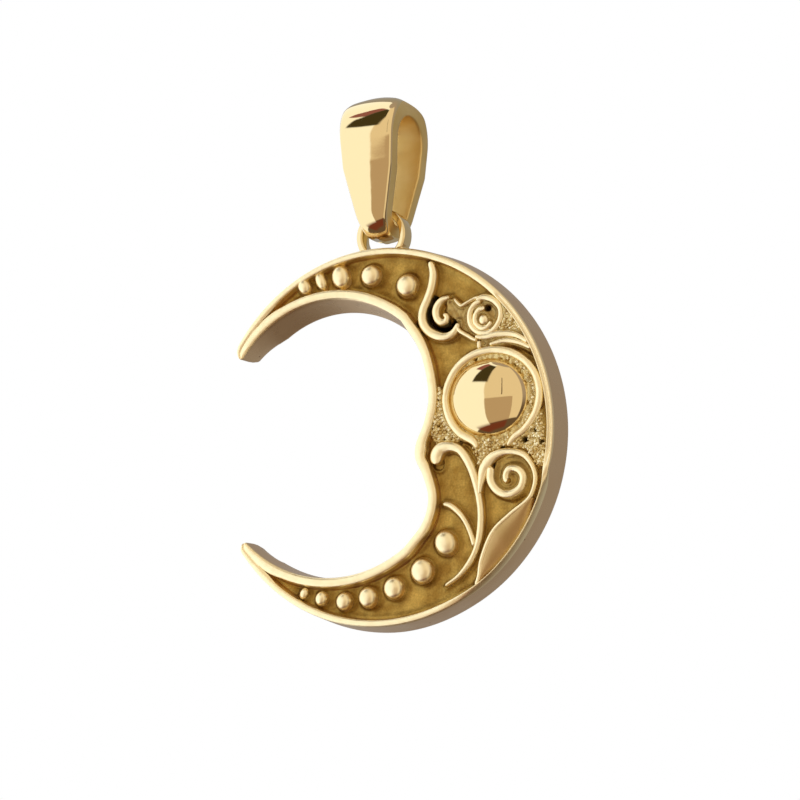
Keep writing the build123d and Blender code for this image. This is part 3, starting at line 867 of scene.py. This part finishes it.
tree, given = new_group("Granulation", {
    "Spacing": "Float", "Most per area": "Float", "Smallest": "Float", "Largest": "Float", "Seed": "Int"})
cover = add_node(tree, "InputNamedAttribute", {"Name": "cover"})
spread_out = add_node(tree, "DistributePointsOnFaces", {
    "Mesh": given["Geometry"], "Distance Min": given["Spacing"],
    "Density Max": given["Most per area"], "Density Factor": cover,
    "Seed": given["Seed"]}, distribute_method="POISSON")
grain_ball = add_node(tree, "MeshIcoSphere", {"Radius": 1.0, "Subdivisions": 2})
grain_size = add_node(tree, "RandomValue", {
    "Min": given["Smallest"], "Max": given["Largest"],
    "Seed": given["Seed"]}, data_type="FLOAT_VECTOR")
grain_turn = add_node(tree, "RandomValue", {
    "Max": (2 * pi, 2 * pi, 2 * pi), "Seed": given["Seed"]}, data_type="FLOAT_VECTOR")
grains_set = add_node(tree, "InstanceOnPoints", {
    "Points": spread_out, "Instance": grain_ball, "Rotation": grain_turn, "Scale": grain_size})
end_group(tree, given, grains_set)

grain_cover = np.where((from_stem > 0.03) & (pit < 0.08), soft_step((grain - 0.3) / 0.4), 0.0)
covered = skin_faces[np.all(grain_cover[skin_faces] > 0.05, axis=1)]
used, renamed = np.unique(covered, return_inverse=True)
grain_sizes = {"Spacing": 0.16, "Most per area": 60.0, "Smallest": 0.06, "Largest": 0.17, "Seed": 4}
grains = grown_piece("relief_grains", points[used], [], renamed.reshape(-1, 4),
                     {"cover": grain_cover[used]}, tree, {**grain_sizes, "Gold": grained_gold})
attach(grains, "crescent")


# The leaf at the lower right: a smooth swelling blade between its edge wire and the outer rim. It lies
# below the buff's reach, so it keeps the skin of the tumbling barrel. A fine line parts it from the rim.
leaf_inner = [(0.868, -0.362), (0.76, -0.442), (0.655, -0.53), (0.598, -0.665), (0.566, -0.8)]
leaf_outer = [(0.89, -0.372), (0.848, -0.492), (0.78, -0.597), (0.696, -0.693), (0.59, -0.782)]
leaf_top = 2.08
leaf_fall = 0.4
inner_side = smooth_through(leaf_inner, 20) * moon_radius
outer_side = smooth_through(leaf_outer, 20) * moon_radius
leaf_section = [(0.0, -0.8), (0.0, -0.1), (0.06, 0.0), (0.2, 0.07), (0.35, 0.13), (0.5, 0.16), (0.65, 0.14),
                (0.8, 0.07), (0.92, -0.03), (0.985, -0.12), (1.0, -0.22), (1.0, -0.8)]
points = []
for near, far in zip(inner_side, outer_side):
    for share, height in leaf_section:
        spot = near * (1 - share) + far * share
        points.append((spot[0], spot[1], leaf_top + height - leaf_fall * share))
# The barrel reaches the open blade better than the floor, so its skin is smoother and paler than the
# floor's.
# Its tone is painted darker than the tumbled gold: painted shade for the blade, which slopes away from the
# light
leaf_shaded_gold, tree, patches, grit = new_material("Satin 18 carat gold, painted shade", (500.0, 3.0), (5000.0, 3.0))
tone = add_node(tree, "Mix", {
    "Factor": patches, "A": linear("#A4884C"), "B": linear("#CFAA78")}, data_type="RGBA")
finish_gold(tree, tone, 0.36, (grit, 0.3, 0.00002))
leaf = make_piece("relief_leaf", place_on_moon(points),
                  grid_faces(len(inner_side), len(leaf_section), ring_columns=True), [leaf_shaded_gold])
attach(leaf, "crescent")


# The loop: a small upright ring of drawn gold strip, soldered on the crescent's upper edge.
loop_depth = 1.0
loop_edge = 0.1
loop_ends = -50.0
loop_steps = 80
loop_middle = moon_radius + loop_height
half_wall, half_depth = loop_wall / 2, loop_depth / 2
strip_section = []
for corner_side, corner_depth, start in ((1, 1, 0), (-1, 1, 90), (-1, -1, 180), (1, -1, 270)):
    for step in range(5):
        angle = radians(start + 22.5 * step)
        strip_section.append((corner_side * (half_wall - loop_edge) + loop_edge * cos(angle),
                              corner_depth * (half_depth - loop_edge) + loop_edge * sin(angle)))
points = []
for step in range(loop_steps + 1):
    angle = radians(loop_ends + (180 - 2 * loop_ends) * step / loop_steps)
    for side, depth in strip_section:
        reach = loop_inner_radius + half_wall + side
        points.append((reach * cos(angle), loop_middle + reach * sin(angle), moon_thickness / 2 + depth))
corners = len(strip_section)
closed_ends = [list(range(corners)), list(range(loop_steps * corners, (loop_steps + 1) * corners))]
loop_faces = grid_faces(loop_steps + 1, corners, ring_columns=True).tolist() + closed_ends
loop = make_piece("loop", place_on_moon(points), loop_faces, [polished_gold])
# The solder has run to a small mound at each foot
mound_across = 1.32
mound_up = 11.92
mound_half_width = 0.46
mound_half_height = 0.3
mound_spread = 0.1
mound_rings = 12
mound_segments = 28
points, faces = [], []
for side in (-1, 1):
    first = len(points)
    for ring in range(mound_rings + 1):
        tilt = pi * ring / mound_rings
        for segment in range(mound_segments):
            angle = 2 * pi * segment / mound_segments
            points.append((side * mound_across + mound_half_width * sin(tilt) * cos(angle),
                           mound_up + mound_half_height * cos(tilt),
                           moon_thickness / 2 + (half_depth + mound_spread) * sin(tilt) * sin(angle)))
    faces += (grid_faces(mound_rings + 1, mound_segments, ring_columns=True) + first).tolist()
solder = make_piece("loop_solder", place_on_moon(points), faces, [polished_gold])
for piece in (loop, solder):
    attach(piece, "crescent")


# The bail: a tapered band cast as one drop-shaped eye, domed and mirror-polished outside, left
# matte on its edges and inside. It carries the chain and hangs loose in the loop.
bail_height = 9.15
bail_top_wall = 1.2
bail_side_wall = 0.95
bail_bottom_wall = 0.85
bail_top_depth = 5.4
bail_middle_depth = 5.1
bail_middle_drop = 4.3
bail_bottom_depth = 4.0
# The band seen from the front. Columns: width, drop from the bail's top, radius of its corner.
band_rows = [(3.96, 1.0, 1.0), (3.5, 4.6, 1.5), (1.7, 8.85, 0.3)]
bail_steps = 200
front_steps = 1200
least_drop = 0.03
bail_dome = 0.16
bail_top_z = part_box("bail")[1].z

# The band's edges and the inside of the eye, which no wheel reaches: as cast, cleaned in the barrel, an
# even soft matte
inside_gold, tree, patches, grit = new_material("Cast 18 carat gold, matte", (700.0, 3.0), (5000.0, 4.0))
tone = add_node(tree, "Mix", {
    "Factor": patches, "A": linear("#DDB968"), "B": linear("#F4DA98")}, data_type="RGBA")
finish_gold(tree, tone, 0.45, (grit, 0.3, 0.00002))


def rounded_hull(circles, count):
    """Evenly spaced points round circles given by across, drop and radius, with the outward ways."""
    angles = np.linspace(0, 2 * pi, 2880, endpoint=False)
    ways = np.stack([np.sin(angles), np.cos(angles)], axis=1)
    middles = np.array([(across, -drop) for across, drop, _ in circles])
    radii = np.array([radius for _, _, radius in circles])
    farthest = (ways @ middles.T + radii).argmax(axis=1)
    outline = middles[farthest] + ways * radii[farthest][:, None]
    closed = np.vstack([outline, outline[:1]])
    run = run_along(closed)
    spots = np.linspace(0, run[-1], count, endpoint=False)
    even = np.stack([np.interp(spots, run, closed[:, i]) for i in range(2)], axis=1)
    ahead = np.roll(even, -1, axis=0) - np.roll(even, 1, axis=0)
    out = np.stack([-ahead[:, 1], ahead[:, 0]], axis=1) / np.linalg.norm(ahead, axis=1, keepdims=True)
    return even, out


top_radius = bail_top_depth / 2
middle_radius = bail_middle_depth / 2
bottom_radius = bail_bottom_depth / 2
outside, outward = rounded_hull([
    (0, top_radius, top_radius), (0, bail_middle_drop, middle_radius),
    (0, bail_height - bottom_radius, bottom_radius),
], bail_steps)
inside, _ = rounded_hull([
    (0, bail_top_wall + top_radius - bail_side_wall, top_radius - bail_side_wall),
    (0, bail_middle_drop, middle_radius - bail_side_wall),
    (0, bail_height - bottom_radius, bottom_radius - bail_bottom_wall),
], bail_steps)
front, _ = rounded_hull([(side * (width / 2 - radius), drop, radius)
                         for width, drop, radius in band_rows for side in (-1, 1)], front_steps)
right_side = front[front[:, 0] > 0]
right_side = right_side[np.argsort(-right_side[:, 1])]
# Across the band. Columns: share of the half width, share of the way in from the outside
# to the inside, and how far the dome lifts it. The rows between matte_rows are polished.
matte_rows = (5, 23)
band_section = [
    (-0.9, 1.0, 0.0), (-0.97, 0.985, 0.0), (-1.0, 0.93, 0.0), (-1.0, 0.7, 0.0), (-1.0, 0.4, 0.0),
    (-1.0, 0.16, 0.0), (-0.985, 0.08, 0.0), (-0.95, 0.02, 0.0), (-0.88, -0.02, 0.2), (-0.75, -0.02, 0.45),
    (-0.6, -0.02, 0.66), (-0.45, -0.02, 0.82), (-0.3, -0.02, 0.92), (-0.15, -0.02, 0.98),
    (0.0, -0.02, 1.0),
]
band_section += [(-share, inward_share, lift) for share, inward_share, lift in band_section[-2::-1]]
band_section += [(0.6, 1.0, 0.0), (0.3, 1.0, 0.0), (0.0, 1.0, 0.0), (-0.3, 1.0, 0.0), (-0.6, 1.0, 0.0)]
points = []
for (oy, oz), (ny, nz), (iy, iz) in zip(outside, outward, inside):
    for share, inward_share, lift_share in band_section:
        y = oy + (iy - oy) * inward_share + ny * bail_dome * lift_share
        z = oz + (iz - oz) * inward_share + nz * bail_dome * lift_share
        width_here = float(np.interp(max(-z, least_drop), -right_side[:, 1], right_side[:, 0]))
        points.append((share * width_here * mm, y * mm, bail_top_z + z * mm))
faces = grid_faces(bail_steps, len(band_section), ring_rows=True, ring_columns=True)
ring_of_face = np.tile(np.arange(len(band_section)), bail_steps)
is_inside = (ring_of_face < matte_rows[0]) | (ring_of_face >= matte_rows[1])
bail = make_piece("bail_band", points, faces, [polished_gold, inside_gold], is_inside.astype(int))
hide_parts("bail")
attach(bail, "bail")


# The room: a pale sweep well below and behind the hanging pendant, which only the camera sees, and
# round it the window, walls and dark things that the polished gold mirrors.
floor_drop = 0.075
sweep_turn = 0.3
sweep_back = 0.6
sweep_half_width = 1.5
sweep_paint, tree = new_material("White paper sweep")
shader = add_node(tree, "Emission", {"Color": linear("#FFFFFF"), "Strength": 1.0})
add_node(tree, "OutputMaterial", {"Surface": shader})
sweep_line = [(-2.0, -floor_drop), (sweep_back - sweep_turn, -floor_drop)]
for step in range(1, 17):
    angle = pi / 2 * step / 16
    sweep_line.append((sweep_back - sweep_turn + sweep_turn * sin(angle),
                       -floor_drop + sweep_turn * (1 - cos(angle))))
sweep_line.append((sweep_back, 2.0))
points = [(side * sweep_half_width, y, z) for y, z in sweep_line for side in (-1, 1)]
sweep = make_piece("paper_sweep", points, grid_faces(len(sweep_line), 2), [sweep_paint])
sweep.visible_glossy = False
sweep.visible_diffuse = False
sweep.visible_shadow = False

# What surrounds the pendant, seen from it. Columns: azimuth from the front, elevation, half width, half
# height and softness, all in degrees, colour, strength. Later rows cover earlier ones.
surroundings = [
    (180.0, 10.0, 80.0, 60.0, 25.0, "#B9B6B4", 0.8), (18.0, 16.0, 45.0, 60.0, 2.0, "#F4E6D2", 1.08),
    (-77.0, 12.0, 55.0, 62.0, 1.0, "#F2F7FF", 1.46), (4.0, -20.0, 26.0, 24.0, 1.0, "#D6BEA6", 0.9),
    (6.0, 24.0, 0.8, 16.0, 0.6, "#5A4630", 0.8), (-20.0, -58.0, 46.0, 12.0, 6.0, "#8A4A38", 0.8),
    (-56.0, 60.0, 10.0, 9.0, 1.0, "#A86C6D", 0.9), (-33.0, 49.0, 14.0, 20.0, 2.0, "#4A4228", 1.0),
]
room_below = "#6E5C4C"
room_above = "#B8ABA8"
world = bpy.data.worlds.new("Studio")
world.use_nodes = True
bpy.context.scene.world = world
tree = world.node_tree
tree.nodes.clear()
gaze = add_node(tree, "TexCoord").outputs["Generated"]
seen_way = add_node(tree, "SeparateXYZ", {"Vector": gaze})
front = add_node(tree, "Math", {0: seen_way.outputs["Y"], 1: -1.0}, operation="MULTIPLY")
turned = add_node(tree, "Math", {0: seen_way.outputs["X"], 1: front}, operation="ARCTAN2")
azimuth_seen = add_node(tree, "Math", {0: turned}, operation="DEGREES")
raised = add_node(tree, "Math", {0: seen_way.outputs["Z"]}, operation="ARCSINE")
elevation_seen = add_node(tree, "Math", {0: raised}, operation="DEGREES")
height_share = add_node(tree, "MapRange", {
    "Value": seen_way.outputs["Z"], "From Min": -0.45, "From Max": 0.25}, interpolation_type="SMOOTHSTEP")
seen = add_node(tree, "Mix", {
    "Factor": height_share, "A": linear(room_below), "B": linear(room_above)}, data_type="RGBA")
for azimuth, elevation, half_width, half_height, softness, colour, strength in surroundings:
    aside = add_node(tree, "Math", {0: azimuth_seen, 1: azimuth}, operation="SUBTRACT")
    nearest = add_node(tree, "Math", {0: aside, 1: 180.0, 2: -180.0}, operation="WRAP")
    over = add_node(tree, "Math", {0: elevation_seen, 1: elevation}, operation="SUBTRACT")
    share = 1.0
    for offset, half_size in ((nearest, half_width), (over, half_height)):
        distance = add_node(tree, "Math", {0: offset}, operation="ABSOLUTE")
        within = add_node(tree, "MapRange", {
            "Value": distance, "From Min": half_size + softness,
            "From Max": half_size - softness}, interpolation_type="SMOOTHSTEP")
        share = add_node(tree, "Math", {0: share, 1: within}, operation="MULTIPLY")
    lit = [strength * value for value in linear(colour)[:3]] + [1.0]
    seen = add_node(tree, "Mix", {"Factor": share, "A": seen, "B": lit}, data_type="RGBA")
sky = add_node(tree, "Background", {"Color": seen, "Strength": 1.0})
add_node(tree, "OutputWorld", {"Surface": sky})

# The camera stands where the photograph was taken: 26 degrees to the right and a little below
camera_azimuth = radians(26.39)
camera_height = radians(-8.29)
camera_distance = 0.15
photo_pixels = 800
pixel_size = 0.0000626
aim_across = 1.675
aim_up = 2.136
aim = Vector((aim_across * mm, -moon_thickness / 2 * mm, moon_middle_z + aim_up * mm))
lens = bpy.data.cameras.new("photo_camera")
lens.sensor_width = 36.0
lens.lens = lens.sensor_width * camera_distance / (photo_pixels * pixel_size)
lens.clip_start = 0.001
lens.clip_end = 20.0
camera = bpy.data.objects.new("photo_camera", lens)
bpy.context.scene.collection.objects.link(camera)
away = Vector((sin(camera_azimuth) * cos(camera_height), -cos(camera_azimuth) * cos(camera_height),
               sin(camera_height)))
camera.location = aim + away * camera_distance
camera.rotation_euler = away.to_track_quat("Z", "Y").to_euler()
bpy.context.scene.camera = camera
bpy.context.scene.view_settings.view_transform = "Standard"
